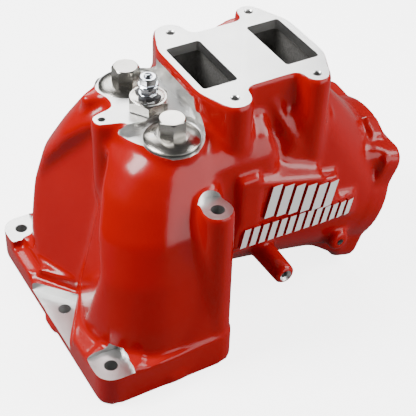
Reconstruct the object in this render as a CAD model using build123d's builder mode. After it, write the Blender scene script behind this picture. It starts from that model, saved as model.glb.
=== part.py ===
"""Intake manifold elbow for a diesel engine, with a built-in electric air heater.

Frame: millimetres, +Z up.  The origin is the centre of the four corner bolts on
the mounting face.  +X points along the duct towards the throttle flange, and the valve
flange, the roof pad and the inlet are all centred on the plane Y = 0.
"""

from build123d import *
import math
import os

os.makedirs("parts", exist_ok=True)

# ---------------------------------------------------------------- casting, overall
wall = 6.0
cast_radius = 3.0

# base flange, bolted to the cylinder head: four corner bolts and one in a side pocket
base_width = 99.0
base_length = 176.0
base_thickness = 25.0
base_corner_radius = 12.0
base_bolt_pitch_x = 75.0
base_bolt_pitch_y = 75.0
base_bolt_hole = 9.0
spot_face_diameter = 22.0
mid_bolt_floor = 9.0
mid_pocket_half_length = 32.0
mid_pocket_depth = 24.0
base_opening_width = 36.0
base_opening_length = 134.0
base_opening_corner = 16.0

# plenum: the hood over the base flange
seat_height = 154.5
plenum_left_reach = 38.0
plenum_right_reach = 46.0
plenum_half_length = 84.0
roof_left_edge = 2.0
roof_right_edge = 51.0
roof_half_length = 52.0
plenum_corner = 39.0
roof_corner = 23.0

# fold that parts the hood's left side into two lobes, a wedge with its tip inside
fold_tip_low_x = -24.0
fold_tip_high_x = 10.0
fold_mouth_x = -70.0
fold_mouth_low_half = 103.0
fold_mouth_high_half = 67.0

# duct from the plenum to the throttle flange
duct_outer_radius = 54.0
# how far bosses and posts run into the duct's wall
blend_depth = 32.4
root_depth = 27.0
duct_start_x = 30.0
duct_start_z = 84.0
inlet_x = 188.0
inlet_z = 52.5
inlet_tilt = 18.0
inlet_bore = 88.0
inlet_flange_radius = 54.5
inlet_flange_thickness = 14.0
inlet_bolt_pitch = 77.0
inlet_lug_radius = 11.0
inlet_thread_drill = 6.8
inlet_thread_depth = 11.0

# valve flange on top
valve_flange_height = 180.0
valve_flange_x = 96.5
valve_bolt_pitch_x = 60.0
valve_bolt_pitch_y = 84.0
valve_lug_radius = 10.5
valve_waist_half_width = 36.0
valve_end_reach = 50.0
valve_end_half_width = 24.0
port_width = 25.0
port_length = 51.0
port_pitch = 60.5
port_corner = 2.5
valve_thread_drill = 5.0
valve_thread_depth = 14.0

# recirculation inlet on the back of the valve tower
gas_bore = 28.0
gas_inlet_z = 146.0
gas_inlet_y = 62.0
gas_flange_thickness = 12.0
gas_bolt_pitch = 54.0
gas_thread_drill = 6.8
gas_lug_radius = 10.0

# long bolt sleeves at the duct side of the base flange
sleeve_radius = 11.0
front_sleeve_height = 127.0
rear_sleeve_height = 96.0

# heater pad on the roof
pad_height = 160.0
pad_x = 28.5
plug_seat_radius = 20.0
pad_radius = 16.5
ear_x = -4.0
ear_radius = 7.5
ear_root_z = 96.0
ear_thread_drill = 5.0
ear_thread_depth = 12.0

# bracket boss on the front of the duct
boss_x = 89.5
boss_z = 53.0
boss_end_y = -80.0
boss_radius = 7.5
boss_thread_drill = 5.0
boss_thread_depth = 14.0

# side panel: two steps, each with a row of plain slanted bars; a row drops to the right
panel_front_y = -60.0
panel_relief = 2.0
row_slope = 0.09
lower_row_left = 60.5
lower_row_right = 161.0
lower_row_bottom = 69.5
lower_row_height = 21.0
lower_bar_count = 13
lower_bar_width = 4.6
lower_bar_margin = 3.2
upper_row_left = 76.0
upper_row_right = 143.0
upper_row_bottom = 89.0
upper_row_height = 29.0
upper_bar_count = 6
upper_bar_width = 7.0
upper_bar_margin = 3.0
bar_lean = 0.22

# broad shoulder that carries the valve flange's left lugs down onto the duct
shoulder_left = 36.0
shoulder_right = 97.0
shoulder_half_width = 56.0
shoulder_foot_z = 62.0
shoulder_edge_z = 143.0
shoulder_top_z = 157.0
shoulder_corner = 10.0
shoulder_top_inset = 8.0

# bulb under the right lugs, which slopes down to the throttle flange
bulb_left = 114.0
bulb_top_length = 36.0
bulb_top_half_width = 42.0
bulb_top_z = 155.0
bulb_foot_length = 62.0
bulb_foot_half_width = 49.0
bulb_foot_z = 96.0
bulb_corner = 12.0

# sensor port low on the front of the duct
sensor_port_drill = 5.0
sensor_port_x = 152.0
sensor_port_z = 38.0
sensor_port_y = -56.0
sensor_boss_radius = 8.0

# ---------------------------------------------------------------- heater hardware
thread_clearance = 0.2
seal_section = 2.0
seal_proud = 0.8

plug_flange_radius = 18.0
spot_face_clearance = 0.6
plug_flange_thickness = 4.0
plug_hex_across_flats = 16.0
plug_hex_height = 12.0
plug_thread_diameter = 24.0
plug_thread_length = 14.0
hex_chamfer = 1.0
# room between a plug's flange and the terminal's shank
plug_gap = 5.0

terminal_hex_across_flats = 24.0
terminal_hex_height = 7.0
terminal_thread_diameter = 18.0
plug_pitch = 2 * (plug_flange_radius + plug_gap) + terminal_thread_diameter
terminal_thread_length = 17.5
terminal_bore_radius = 5.0

stud_diameter = 6.0
stud_top_z = 183.5
stud_bottom_z = 82.0
insulator_sleeve_length = 6.0
insulator_arm_length = 17.0
insulator_arm_width = 5.0
insulator_height = 2.0
washer_radius = 6.0
washer_thickness = 1.0
clamp_nut_flats = 10.0
clamp_nut_height = 4.0
cable_eye_gap = 1.0
cable_nut_flats = 10.0
cable_nut_height = 6.5
cable_nut_flange_radius = 6.8
cable_nut_flange_thickness = 1.5
inner_insulator_radius = 8.0
inner_insulator_flange = 4.0

former_radius = 8.0
coil_wire_diameter = 2.4
coil_pitch = 6.5
coil_turns = 6
coil_top_gap = 4.0
bus_bar_top_z = 90.0
bus_bar_width = 12.0
bus_bar_thickness = 2.0
bus_nut_height = 5.0
end_screw_diameter = 4.0
end_screw_depth = 10.0
end_screw_head_radius = 3.5
end_screw_head_height = 3.0

# ---------------------------------------------------------------- derived places
sides = (-1, 1)
sleeve_x = base_bolt_pitch_x / 2
tilt = math.radians(inlet_tilt)
inlet_axis = (math.cos(tilt), 0, -math.sin(tilt))
inlet_plane = Plane(origin=(inlet_x, 0, inlet_z), x_dir=(0, 1, 0), z_dir=inlet_axis)
inlet_bolt = inlet_bolt_pitch / 2
plug_positions = {"front": -plug_pitch / 2, "rear": plug_pitch / 2}


def blend(start, end, share, power):
    """A value that leaves start slowly and reaches end at share 1."""
    return start + (end - start) * share ** power


def plenum_section(level, inset):
    """Centre, width, length and corner radius of the hood at a height."""
    share = level / seat_height
    left = blend(-plenum_left_reach, roof_left_edge, share, 3.5) + inset
    right = blend(plenum_right_reach, roof_right_edge, share, 1.0) - inset
    half_length = blend(plenum_half_length, roof_half_length, share, 2.6) - inset
    corner = blend(plenum_corner, roof_corner, share, 2.0) - inset
    return (left + right) / 2, right - left, 2 * half_length, corner


def hood_outline(level, inset):
    """One level of the hood; the caller lofts the levels together."""
    centre, width, length, corner = plenum_section(level, inset)
    with BuildSketch(Plane.XY.offset(level)) as outline:
        with Locations((centre, 0)):
            RectangleRounded(width, length, corner)
    return outline.sketch


def fold_outline(level, offset):
    """One level of the wedge that folds the hood's left side inwards."""
    share = (level - base_thickness) / (seat_height - base_thickness)
    tip = blend(fold_tip_low_x, fold_tip_high_x, share, 1.0) + offset
    half = blend(fold_mouth_low_half, fold_mouth_high_half, share, 1.0)
    with BuildSketch(Plane.XY.offset(level)) as outline:
        Polygon((tip, 0), (fold_mouth_x, half), (fold_mouth_x, -half), align=None)
    return outline.sketch


def row_corners(left, right, bottom, height):
    """Four corners of one step of the side panel."""
    drop = row_slope * (right - left)
    return (left, bottom), (right, bottom - drop), (right, bottom + height - drop), (left, bottom + height)


fold_levels = (base_thickness, seat_height + wall)
fold_wall = wall + cast_radius / 2
panel_rows = (
    (
        lower_row_left, lower_row_right, lower_row_bottom, lower_row_height,
        lower_bar_count, lower_bar_width, lower_bar_margin,
    ),
    (
        upper_row_left, upper_row_right, upper_row_bottom, upper_row_height,
        upper_bar_count, upper_bar_width, upper_bar_margin,
    ),
)


with BuildLine() as duct_path:
    Spline(
        (duct_start_x, 0, duct_start_z),
        (inlet_x, 0, inlet_z),
        tangents=[(1, 0, 0), inlet_axis],
        tangent_scalars=(1.0, 0.8),
    )
duct_wire = duct_path.wire()
duct_shares = (0.0, 0.3, 0.6, 0.8, 1.0)
hood_shares = (0.0, 0.3, 0.5, 0.7, 0.85, 1.0)


def duct_outline(share, radius):
    """A round section of the duct, square to its centre line."""
    origin = duct_wire @ share
    direction = duct_wire % share
    with BuildSketch(Plane(origin=origin, x_dir=(0, 1, 0), z_dir=direction)) as outline:
        Circle(radius)
    return outline.sketch


def bore_radius(share):
    """The duct narrows from its body to the bore of the throttle flange."""
    return blend(duct_outer_radius - wall, inlet_bore / 2, share, 1.0)


with BuildSketch() as valve_outline:
    for end in sides:
        with BuildSketch(mode=Mode.PRIVATE) as lugs:
            with Locations(
                (valve_flange_x + end * valve_bolt_pitch_x / 2, valve_bolt_pitch_y / 2),
                (valve_flange_x + end * valve_bolt_pitch_x / 2, -valve_bolt_pitch_y / 2),
            ):
                Circle(valve_lug_radius)
            with Locations(
                (valve_flange_x + end * (valve_end_reach - 4), valve_end_half_width - 4),
                (valve_flange_x + end * (valve_end_reach - 4), 4 - valve_end_half_width),
            ):
                Circle(4)
        make_hull(lugs.sketch.edges())
    with Locations((valve_flange_x, 0)):
        Rectangle(valve_bolt_pitch_x, 2 * valve_waist_half_width)

with BuildSketch() as seat_outline:
    with Locations((pad_x, -plug_pitch / 2), (pad_x, plug_pitch / 2)):
        Circle(plug_seat_radius)
    make_hull()

with BuildSketch() as ear_outline:
    with Locations((ear_x, 0)):
        Circle(ear_radius)
    with Locations((pad_x, 0)):
        Circle(pad_radius)
    make_hull()

inlet_side = inlet_bolt_pitch + 2 * inlet_lug_radius
with BuildSketch() as inlet_outline:
    Circle(inlet_flange_radius)
    RectangleRounded(inlet_side, inlet_side, inlet_lug_radius)

# ---------------------------------------------------------------- the casting
with BuildPart() as manifold_casting:
    # base flange
    with BuildSketch(Plane.XY):
        RectangleRounded(base_width, base_length, base_corner_radius)
    extrude(amount=base_thickness)

    # hood over the base
    loft(sections=[hood_outline(seat_height * share, 0) for share in hood_shares])
    loft(sections=[fold_outline(level, 0) for level in fold_levels], mode=Mode.SUBTRACT)

    # duct, and the flange the throttle valve bolts to
    loft(sections=[duct_outline(share, duct_outer_radius) for share in duct_shares])
    with BuildSketch(inlet_plane):
        add(inlet_outline.sketch)
    extrude(amount=-inlet_flange_thickness)

    # tower under the valve flange, reaching down into the duct
    with BuildSketch(Plane.XY.offset(valve_flange_height)):
        add(valve_outline.sketch)
    extrude(amount=duct_start_z + blend_depth - valve_flange_height)

    # shoulder under the left lugs
    shoulder_x = (shoulder_left + shoulder_right) / 2
    shoulder_width = shoulder_right - shoulder_left
    with BuildSketch(Plane.XY.offset(shoulder_foot_z)):
        with Locations((shoulder_x, 0)):
            RectangleRounded(shoulder_width, 2 * shoulder_half_width, shoulder_corner)
    extrude(amount=shoulder_edge_z - shoulder_foot_z)
    with BuildSketch(Plane.XY.offset(shoulder_edge_z)) as shoulder_edge:
        with Locations((shoulder_x, 0)):
            RectangleRounded(shoulder_width, 2 * shoulder_half_width, shoulder_corner)
    with BuildSketch(Plane.XY.offset(shoulder_top_z)) as shoulder_top:
        with Locations((shoulder_x, 0)):
            RectangleRounded(
                shoulder_width - 2 * shoulder_top_inset,
                2 * (shoulder_half_width - shoulder_top_inset),
                shoulder_corner,
            )
    loft(sections=[shoulder_edge.sketch, shoulder_top.sketch])

    # bulb under the right lugs
    with BuildSketch(Plane.XY.offset(bulb_top_z)) as bulb_top:
        with Locations((bulb_left + bulb_top_length / 2, 0)):
            RectangleRounded(bulb_top_length, 2 * bulb_top_half_width, bulb_corner)
    with BuildSketch(Plane.XY.offset(bulb_foot_z)) as bulb_foot:
        with Locations((bulb_left + bulb_foot_length / 2, 0)):
            RectangleRounded(bulb_foot_length, 2 * bulb_foot_half_width, bulb_corner)
    loft(sections=[bulb_top.sketch, bulb_foot.sketch])

    # boss round the gas passage on the back of the tower
    gas_x = valve_flange_x + port_pitch / 2
    gas_plane = Plane(origin=(gas_x, gas_inlet_y, gas_inlet_z), x_dir=(1, 0, 0), z_dir=(0, 1, 0))
    with BuildSketch(gas_plane):
        with Locations((-gas_bolt_pitch / 2, 0), (gas_bolt_pitch / 2, 0)):
            Circle(gas_lug_radius)
        Circle(gas_bore / 2 + wall)
        make_hull()
    extrude(amount=-gas_flange_thickness)
    with BuildSketch(gas_plane):
        Circle(gas_bore / 2 + wall)
    extrude(amount=-gas_inlet_y + port_length / 2)

    # long bolt sleeves
    for end, height in ((-1, front_sleeve_height), (1, rear_sleeve_height)):
        with BuildSketch(Plane.XY):
            with Locations((sleeve_x, end * base_bolt_pitch_y)):
                Circle(sleeve_radius)
        extrude(amount=height)
        with BuildSketch(Plane.XY):
            with Locations((sleeve_x - sleeve_radius, end * (base_bolt_pitch_y - sleeve_radius))):
                Rectangle(2 * sleeve_radius, 2 * sleeve_radius)
        extrude(amount=height - sleeve_radius)

    # roof pad: lower level for the plug seats, upper level for terminal and ear
    with BuildSketch(Plane.XY.offset(seat_height)):
        add(seat_outline.sketch)
    extrude(amount=-plug_seat_radius)
    with BuildSketch(Plane.XY.offset(pad_height)):
        add(ear_outline.sketch)
    extrude(amount=-2 * wall)
    with BuildSketch(Plane.XY.offset(pad_height)):
        with Locations((ear_x, 0)):
            Circle(ear_radius)
    extrude(amount=ear_root_z - pad_height)

    # bracket boss on the front
    with BuildSketch(Plane(origin=(boss_x, boss_end_y, boss_z), x_dir=(1, 0, 0), z_dir=(0, -1, 0))):
        Circle(boss_radius)
    extrude(amount=boss_end_y + blend_depth)

    # sensor port boss low on the front
    sensor_plane = Plane(
        origin=(sensor_port_x, sensor_port_y, sensor_port_z), x_dir=(1, 0, 0), z_dir=(0, -1, 0)
    )
    with BuildSketch(sensor_plane):
        Circle(sensor_boss_radius)
    extrude(amount=sensor_port_y + root_depth)

    # side panel with its two rows of bars
    panel_plane = Plane(origin=(0, panel_front_y, 0), x_dir=(1, 0, 0), z_dir=(0, -1, 0))
    for left, right, bottom, height, count, width, margin in panel_rows:
        with BuildSketch(panel_plane):
            Polygon(*row_corners(left, right, bottom, height), align=None)
        extrude(amount=panel_front_y + root_depth)
        pitch = (right - left - 2 * wall) / count
        with BuildSketch(panel_plane):
            for number in range(count):
                middle = left + wall + pitch * (number + 0.5)
                foot = bottom - row_slope * (middle - left) + margin
                lean = bar_lean * (height - 2 * margin) / 2
                head = foot + height - 2 * margin
                Polygon(
                    (middle - width / 2 - lean, foot),
                    (middle + width / 2 - lean, foot),
                    (middle + width / 2 + lean, head),
                    (middle - width / 2 + lean, head),
                    align=None,
                )
        extrude(amount=panel_relief)

    # inside of the hood
    roof_inside = seat_height - 2 * wall
    inner_levels = [blend(base_thickness, roof_inside, share, 1.0) for share in hood_shares]
    with BuildPart(mode=Mode.PRIVATE) as hood_core:
        loft(sections=[hood_outline(level, wall) for level in inner_levels])
        loft(sections=[fold_outline(level, fold_wall) for level in fold_levels], mode=Mode.SUBTRACT)
    add(hood_core.part, mode=Mode.SUBTRACT)
    with BuildSketch(Plane.XY):
        RectangleRounded(base_opening_width, base_opening_length, base_opening_corner)
    extrude(amount=base_thickness + cast_radius, mode=Mode.SUBTRACT)

    # inside of the duct
    loft(
        sections=[duct_outline(share, bore_radius(share)) for share in duct_shares],
        mode=Mode.SUBTRACT,
    )

    # the two ports: one opens into the duct, one turns to the gas inlet at the back
    port_top = Plane.XY.offset(valve_flange_height)
    with BuildSketch(port_top):
        with Locations((valve_flange_x - port_pitch / 2, 0)):
            RectangleRounded(port_width, port_length, port_corner)
    extrude(amount=duct_start_z - valve_flange_height, mode=Mode.SUBTRACT)
    with BuildSketch(port_top):
        with Locations((gas_x, 0)):
            RectangleRounded(port_width, port_length, port_corner)
    extrude(amount=gas_inlet_z - gas_bore / 2 - valve_flange_height, mode=Mode.SUBTRACT)
    with BuildSketch(gas_plane):
        Circle(gas_bore / 2)
    extrude(amount=port_corner - gas_inlet_y, mode=Mode.SUBTRACT)

    # tapped holes in the valve flange, the gas flange and the throttle flange
    with BuildSketch(port_top):
        with Locations((valve_flange_x, 0)):
            with GridLocations(valve_bolt_pitch_x, valve_bolt_pitch_y, 2, 2):
                Circle(valve_thread_drill / 2)
    extrude(amount=-valve_thread_depth, mode=Mode.SUBTRACT)
    with BuildSketch(gas_plane):
        with GridLocations(gas_bolt_pitch, 1, 2, 1):
            Circle(gas_thread_drill / 2)
    extrude(amount=-gas_flange_thickness, mode=Mode.SUBTRACT)
    with BuildSketch(inlet_plane):
        with GridLocations(inlet_bolt_pitch, inlet_bolt_pitch, 2, 2):
            Circle(inlet_thread_drill / 2)
    extrude(amount=-inlet_thread_depth, mode=Mode.SUBTRACT)

    # base bolt holes, with a clear space above each spot face
    for end in sides:
        for side in sides:
            place = (side * base_bolt_pitch_x / 2, end * base_bolt_pitch_y)
            with BuildSketch(Plane.XY):
                with Locations(place):
                    Circle(base_bolt_hole / 2)
            extrude(amount=front_sleeve_height + wall, mode=Mode.SUBTRACT)
        with BuildSketch(Plane.XY.offset(base_thickness)):
            with Locations((-base_bolt_pitch_x / 2, end * base_bolt_pitch_y)):
                Circle(spot_face_diameter / 2)
        extrude(amount=seat_height - base_thickness, mode=Mode.SUBTRACT)
    # fifth bolt, halfway along the outer edge, in a pocket milled into the flange
    with BuildSketch(Plane.XY):
        with Locations((-base_bolt_pitch_x / 2, 0)):
            Circle(base_bolt_hole / 2)
    extrude(amount=base_thickness, mode=Mode.SUBTRACT)
    outer_edge = -base_width / 2
    with BuildSketch(Plane.XY.offset(mid_bolt_floor)):
        with BuildLine():
            Polyline(
                (outer_edge + mid_pocket_depth, 0),
                (outer_edge, mid_pocket_half_length),
                (outer_edge, -mid_pocket_half_length),
                close=True,
            )
        make_face()
    extrude(amount=base_thickness, mode=Mode.SUBTRACT)

    # counterbores that clear the plug flanges, down to their seats
    with BuildSketch(Plane.XY.offset(seat_height)):
        with Locations((pad_x, -plug_pitch / 2), (pad_x, plug_pitch / 2)):
            Circle(plug_flange_radius + spot_face_clearance)
    extrude(amount=wall, mode=Mode.SUBTRACT)

    # threads for the heater hardware and the brackets
    with BuildSketch(Plane.XY.offset(seat_height)):
        with Locations((pad_x, -plug_pitch / 2), (pad_x, plug_pitch / 2)):
            Circle(plug_thread_diameter / 2 + thread_clearance)
    extrude(amount=-plug_seat_radius - wall, mode=Mode.SUBTRACT)
    with BuildSketch(Plane.XY.offset(pad_height)):
        with Locations((pad_x, 0)):
            Circle(terminal_thread_diameter / 2 + thread_clearance)
    extrude(amount=-plug_seat_radius - 2 * wall, mode=Mode.SUBTRACT)
    with BuildSketch(Plane.XY.offset(pad_height)):
        with Locations((ear_x, 0)):
            Circle(ear_thread_drill / 2)
    extrude(amount=-ear_thread_depth, mode=Mode.SUBTRACT)
    with BuildSketch(Plane(origin=(boss_x, boss_end_y, boss_z), x_dir=(1, 0, 0), z_dir=(0, -1, 0))):
        Circle(boss_thread_drill / 2)
    extrude(amount=-boss_thread_depth, mode=Mode.SUBTRACT)
    with BuildSketch(sensor_plane):
        Circle(sensor_port_drill / 2)
    extrude(amount=sensor_port_y + root_depth, mode=Mode.SUBTRACT)
manifold_casting.part.label = "manifold_casting"
export_step(manifold_casting.part, "parts/manifold_casting.step")


# ---------------------------------------------------------------- the heater plugs
plug_base_z = seat_height + seal_proud
plug_shank_end = plug_base_z - plug_thread_length
plug_hex_z = plug_base_z + plug_flange_thickness
coil_mean_radius = former_radius + coil_wire_diameter / 2
coil_height = coil_pitch * coil_turns
coil_foot_z = plug_shank_end - coil_top_gap - coil_height


def hex_radius(across_flats):
    """Corner radius of a hexagon from its width across flats."""
    return across_flats / math.sqrt(3)


for name, plug_y in plug_positions.items():
    with BuildPart() as plug:
        with BuildSketch(Plane.XY.offset(plug_base_z)):
            with Locations((pad_x, plug_y)):
                Circle(plug_flange_radius)
        extrude(amount=plug_flange_thickness)
        rims = plug.edges().group_by(Axis.Z)[-1]
        chamfer(rims, length=plug_flange_thickness * 0.5, length2=plug_flange_thickness * 0.9)
        with BuildSketch(Plane.XY.offset(plug_hex_z)):
            with Locations((pad_x, plug_y)):
                RegularPolygon(hex_radius(plug_hex_across_flats), 6)
        extrude(amount=plug_hex_height)
        chamfer(plug.edges().group_by(Axis.Z)[-1], length=hex_chamfer)
        with BuildSketch(Plane.XY.offset(plug_base_z)):
            with Locations((pad_x, plug_y)):
                Circle(plug_thread_diameter / 2)
        extrude(amount=-plug_thread_length)
        with BuildSketch(Plane.XY.offset(plug_base_z)):
            with Locations((pad_x, plug_y)):
                Circle(plug_flange_radius - seal_section / 2)
                Circle(plug_flange_radius - seal_section * 1.5, mode=Mode.SUBTRACT)
        extrude(amount=seal_section - seal_proud, mode=Mode.SUBTRACT)
    plug.part.label = name + "_heater_plug"
    export_step(plug.part, "parts/" + name + "_heater_plug.step")

    with BuildPart() as seal:
        with BuildSketch(Plane.XY.offset(seat_height)):
            with Locations((pad_x, plug_y)):
                Circle(plug_flange_radius - seal_section / 2)
                Circle(plug_flange_radius - seal_section * 1.5, mode=Mode.SUBTRACT)
        extrude(amount=seal_section)
    seal.part.label = name + "_plug_o_ring"
    export_step(seal.part, "parts/" + name + "_plug_o_ring.step")

    # ceramic rod that hangs from the plug and carries the coil
    with BuildPart() as former:
        with BuildSketch(Plane.XY.offset(bus_bar_top_z)):
            with Locations((pad_x, plug_y)):
                Circle(former_radius)
        extrude(amount=plug_shank_end - bus_bar_top_z)
        with BuildSketch(Plane.XY.offset(bus_bar_top_z)):
            with Locations((pad_x, plug_y)):
                Circle(end_screw_diameter / 2)
        extrude(amount=end_screw_depth, mode=Mode.SUBTRACT)
    former.part.label = name + "_coil_former"
    export_step(former.part, "parts/" + name + "_coil_former.step")

    # resistance wire wound on the rod
    with BuildPart() as coil:
        with BuildLine():
            winding = Helix(
                pitch=coil_pitch,
                height=coil_height,
                radius=coil_mean_radius,
                center=(pad_x, plug_y, coil_foot_z),
            )
        with BuildSketch(Plane(origin=winding @ 0, z_dir=winding % 0)):
            Circle(coil_wire_diameter / 2)
        sweep(path=winding, is_frenet=True)
    coil.part.label = name + "_heater_coil"
    export_step(coil.part, "parts/" + name + "_heater_coil.step")

# ---------------------------------------------------------------- the power terminal
terminal_base_z = pad_height + seal_proud
terminal_top_z = terminal_base_z + terminal_hex_height
terminal_end_z = pad_height - terminal_thread_length
insulator_top_z = terminal_top_z + insulator_height
washer_top_z = insulator_top_z + washer_thickness
clamp_nut_top_z = washer_top_z + clamp_nut_height
cable_nut_z = clamp_nut_top_z + cable_eye_gap
terminal_seal_outer = terminal_hex_across_flats / 2 - 0.5

with BuildPart() as terminal_body:
    with BuildSketch(Plane.XY.offset(terminal_base_z)):
        with Locations((pad_x, 0)):
            RegularPolygon(hex_radius(terminal_hex_across_flats), 6)
    extrude(amount=terminal_hex_height)
    chamfer(terminal_body.edges().group_by(Axis.Z)[-1], length=hex_chamfer)
    with BuildSketch(Plane.XY.offset(terminal_base_z)):
        with Locations((pad_x, 0)):
            Circle(terminal_thread_diameter / 2)
    extrude(amount=terminal_end_z - terminal_base_z)
    with BuildSketch(Plane.XY.offset(terminal_end_z)):
        with Locations((pad_x, 0)):
            Circle(terminal_bore_radius)
    extrude(amount=terminal_top_z - terminal_end_z, mode=Mode.SUBTRACT)
    with BuildSketch(Plane.XY.offset(terminal_base_z)):
        with Locations((pad_x, 0)):
            Circle(terminal_seal_outer)
            Circle(terminal_seal_outer - seal_section, mode=Mode.SUBTRACT)
    extrude(amount=seal_section - seal_proud, mode=Mode.SUBTRACT)
terminal_body.part.label = "terminal_body"
export_step(terminal_body.part, "parts/terminal_body.step")

with BuildPart() as terminal_o_ring:
    with BuildSketch(Plane.XY.offset(pad_height)):
        with Locations((pad_x, 0)):
            Circle(terminal_seal_outer)
            Circle(terminal_seal_outer - seal_section, mode=Mode.SUBTRACT)
    extrude(amount=seal_section)
terminal_o_ring.part.label = "terminal_o_ring"
export_step(terminal_o_ring.part, "parts/terminal_o_ring.step")

with BuildPart() as terminal_insulator:
    with BuildSketch(Plane.XY.offset(terminal_top_z)):
        with Locations((pad_x, 0)):
            Rectangle(insulator_arm_length, insulator_arm_width, rotation=30)
            Rectangle(insulator_arm_width, insulator_arm_length, rotation=30)
            Circle(terminal_bore_radius + 1)
    extrude(amount=insulator_height)
    with BuildSketch(Plane.XY.offset(terminal_top_z)):
        with Locations((pad_x, 0)):
            Circle(terminal_bore_radius)
    extrude(amount=-insulator_sleeve_length)
    with BuildSketch(Plane.XY.offset(insulator_top_z)):
        with Locations((pad_x, 0)):
            Circle(stud_diameter / 2)
    extrude(amount=-insulator_height - insulator_sleeve_length, mode=Mode.SUBTRACT)
terminal_insulator.part.label = "terminal_insulator"
export_step(terminal_insulator.part, "parts/terminal_insulator.step")

with BuildPart() as inner_insulator:
    with BuildSketch(Plane.XY.offset(terminal_end_z)):
        with Locations((pad_x, 0)):
            Circle(inner_insulator_radius)
    extrude(amount=-inner_insulator_flange)
    with BuildSketch(Plane.XY.offset(terminal_end_z)):
        with Locations((pad_x, 0)):
            Circle(terminal_bore_radius)
    extrude(amount=insulator_sleeve_length)
    with BuildSketch(Plane.XY.offset(terminal_end_z - inner_insulator_flange)):
        with Locations((pad_x, 0)):
            Circle(stud_diameter / 2)
    extrude(amount=inner_insulator_flange + insulator_sleeve_length, mode=Mode.SUBTRACT)
inner_insulator.part.label = "inner_insulator"
export_step(inner_insulator.part, "parts/inner_insulator.step")

with BuildPart() as terminal_stud:
    with BuildSketch(Plane.XY.offset(stud_bottom_z)):
        with Locations((pad_x, 0)):
            Circle(stud_diameter / 2)
    extrude(amount=stud_top_z - stud_bottom_z)
    stud_ends = terminal_stud.edges().filter_by(GeomType.CIRCLE)
    chamfer(stud_ends, length=hex_chamfer * 0.6)
terminal_stud.part.label = "terminal_stud"
export_step(terminal_stud.part, "parts/terminal_stud.step")

with BuildPart() as terminal_washer:
    with BuildSketch(Plane.XY.offset(insulator_top_z)):
        with Locations((pad_x, 0)):
            Circle(washer_radius)
            Circle(stud_diameter / 2, mode=Mode.SUBTRACT)
    extrude(amount=washer_thickness)
terminal_washer.part.label = "terminal_washer"
export_step(terminal_washer.part, "parts/terminal_washer.step")

with BuildPart() as terminal_clamp_nut:
    with BuildSketch(Plane.XY.offset(washer_top_z)):
        with Locations((pad_x, 0)):
            RegularPolygon(hex_radius(clamp_nut_flats), 6)
            Circle(stud_diameter / 2, mode=Mode.SUBTRACT)
    extrude(amount=clamp_nut_height)
terminal_clamp_nut.part.label = "terminal_clamp_nut"
export_step(terminal_clamp_nut.part, "parts/terminal_clamp_nut.step")

with BuildPart() as terminal_cable_nut:
    with BuildSketch(Plane.XY.offset(cable_nut_z)):
        with Locations((pad_x, 0)):
            Circle(cable_nut_flange_radius)
            Circle(stud_diameter / 2, mode=Mode.SUBTRACT)
    extrude(amount=cable_nut_flange_thickness)
    with BuildSketch(Plane.XY.offset(cable_nut_z + cable_nut_flange_thickness)):
        with Locations((pad_x, 0)):
            RegularPolygon(hex_radius(cable_nut_flats), 6)
            Circle(stud_diameter / 2, mode=Mode.SUBTRACT)
    extrude(amount=cable_nut_height - cable_nut_flange_thickness)
terminal_cable_nut.part.label = "terminal_cable_nut"
export_step(terminal_cable_nut.part, "parts/terminal_cable_nut.step")

# ---------------------------------------------------------------- inner connections
bus_bar_bottom_z = bus_bar_top_z - bus_bar_thickness

with BuildPart() as bus_bar:
    with BuildSketch(Plane.XY.offset(bus_bar_bottom_z)):
        with Locations((pad_x, 0)):
            SlotOverall(plug_pitch + bus_bar_width, bus_bar_width, rotation=90)
            Circle(stud_diameter / 2, mode=Mode.SUBTRACT)
        with Locations((pad_x, -plug_pitch / 2), (pad_x, plug_pitch / 2)):
            Circle(end_screw_diameter / 2, mode=Mode.SUBTRACT)
    extrude(amount=bus_bar_thickness)
bus_bar.part.label = "bus_bar"
export_step(bus_bar.part, "parts/bus_bar.step")

with BuildPart() as bus_bar_nut:
    with BuildSketch(Plane.XY.offset(bus_bar_bottom_z)):
        with Locations((pad_x, 0)):
            RegularPolygon(hex_radius(clamp_nut_flats), 6)
            Circle(stud_diameter / 2, mode=Mode.SUBTRACT)
    extrude(amount=-bus_nut_height)
bus_bar_nut.part.label = "bus_bar_nut"
export_step(bus_bar_nut.part, "parts/bus_bar_nut.step")

with BuildPart() as coil_end_screws:
    with BuildSketch(Plane.XY.offset(bus_bar_bottom_z)):
        with Locations((pad_x, -plug_pitch / 2), (pad_x, plug_pitch / 2)):
            Circle(end_screw_diameter / 2)
    extrude(amount=bus_bar_thickness + end_screw_depth)
    with BuildSketch(Plane.XY.offset(bus_bar_bottom_z)):
        with Locations((pad_x, -plug_pitch / 2), (pad_x, plug_pitch / 2)):
            Circle(end_screw_head_radius)
    extrude(amount=-end_screw_head_height)
coil_end_screws.part.label = "coil_end_screws"
export_step(coil_end_screws.part, "parts/coil_end_screws.step")
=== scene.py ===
# %% [markdown]
# # Intake manifold with a built-in air heater
# A cast aluminium elbow that bolts to a diesel engine's cylinder head. The sand casting is
# powder coated in glossy red, and every face that seals or takes a bolt is milled afterwards,
# through the paint, down to bare metal. This file follows the same order: first the soft cast
# blank, then the milling, then the fasteners and seals that are screwed into it.

import math

import bmesh
import bpy
from mathutils import Matrix, Vector


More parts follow.
